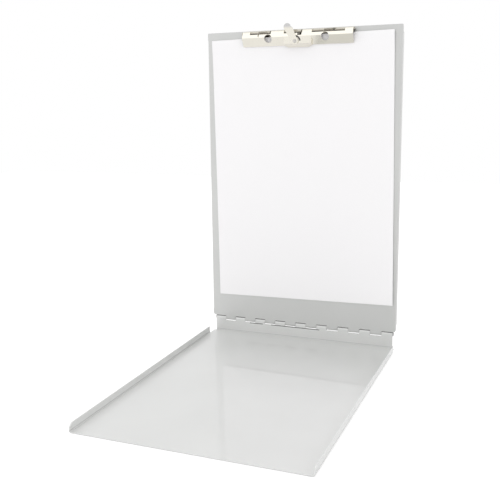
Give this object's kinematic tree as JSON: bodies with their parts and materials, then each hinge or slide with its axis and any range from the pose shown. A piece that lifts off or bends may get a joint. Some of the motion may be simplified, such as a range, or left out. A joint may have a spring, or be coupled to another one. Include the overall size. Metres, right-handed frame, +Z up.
{
  "type": "folding clipboard with tray",
  "caption": "Folding aluminium clipboard: flat tray with low side flanges, upright writing panel on a full-length hinge, plated lever clip holding a sheet",
  "frame": {"origin": "centre of the tray's underside", "axes": "+Z up, +Y back to the hinge, +X to the right of someone facing the upright panel"},
  "size_m": [0.2252, 0.3157, 0.359],
  "materials": {
    "tray_sheet": "satin rolled aluminium sheet",
    "panel_sheet": "satin rolled aluminium sheet",
    "hinge_wire": "drawn steel wire",
    "clip_plate": "bright nickel plate",
    "clip_jaw_plate": "bright nickel plate, warm tint",
    "clip_wire": "plated steel rod",
    "spring_wire": "zinc plated spring wire",
    "lever_plate": "bright nickel plate",
    "rivet_steel": "nickel plated steel",
    "paper": "plain white writing paper"
  },
  "bodies": {
    "tray": {"tray": "tray_sheet", "hinge_pin": "hinge_wire"},
    "panel": {"writing_panel": "panel_sheet", "clip_base": "clip_plate", "clip_rod": "clip_wire", "clip_rivets": "rivet_steel", "paper_sheet": "paper"},
    "jaw": {"clip_jaw": "clip_jaw_plate", "clip_spring_left": "spring_wire", "clip_spring_right": "spring_wire", "lever_washer": "rivet_steel", "lever_rivet": "rivet_steel"},
    "lever": {"clip_lever": "lever_plate"}
  },
  "joints": [
    {"name": "panel_fold", "type": "hinge", "parent": "tray", "child": "panel", "pos_m": [0, 0.15275, 0.0167], "axis": [1, 0, 0], "range_deg": [-90.5, 92.8]},
    {"name": "jaw_open", "type": "hinge", "parent": "panel", "child": "jaw", "pos_m": [-0.0032, 0.15687, 0.34972], "axis": [-1, 0, 0], "range_deg": [0, 11.5], "stiffness_Nm_per_rad": 0.25, "springref_deg": -34.38},
    {"name": "lever_swing", "type": "hinge", "parent": "jaw", "child": "lever", "pos_m": [-0.0042, 0.15113, 0.33979], "axis": [0, 0.9996, -0.0295], "range_deg": [0, 70]}
  ],
  "couplings": [
    {"joint": "lever_swing", "follows": "jaw_open", "ratio": 6}
  ]
}
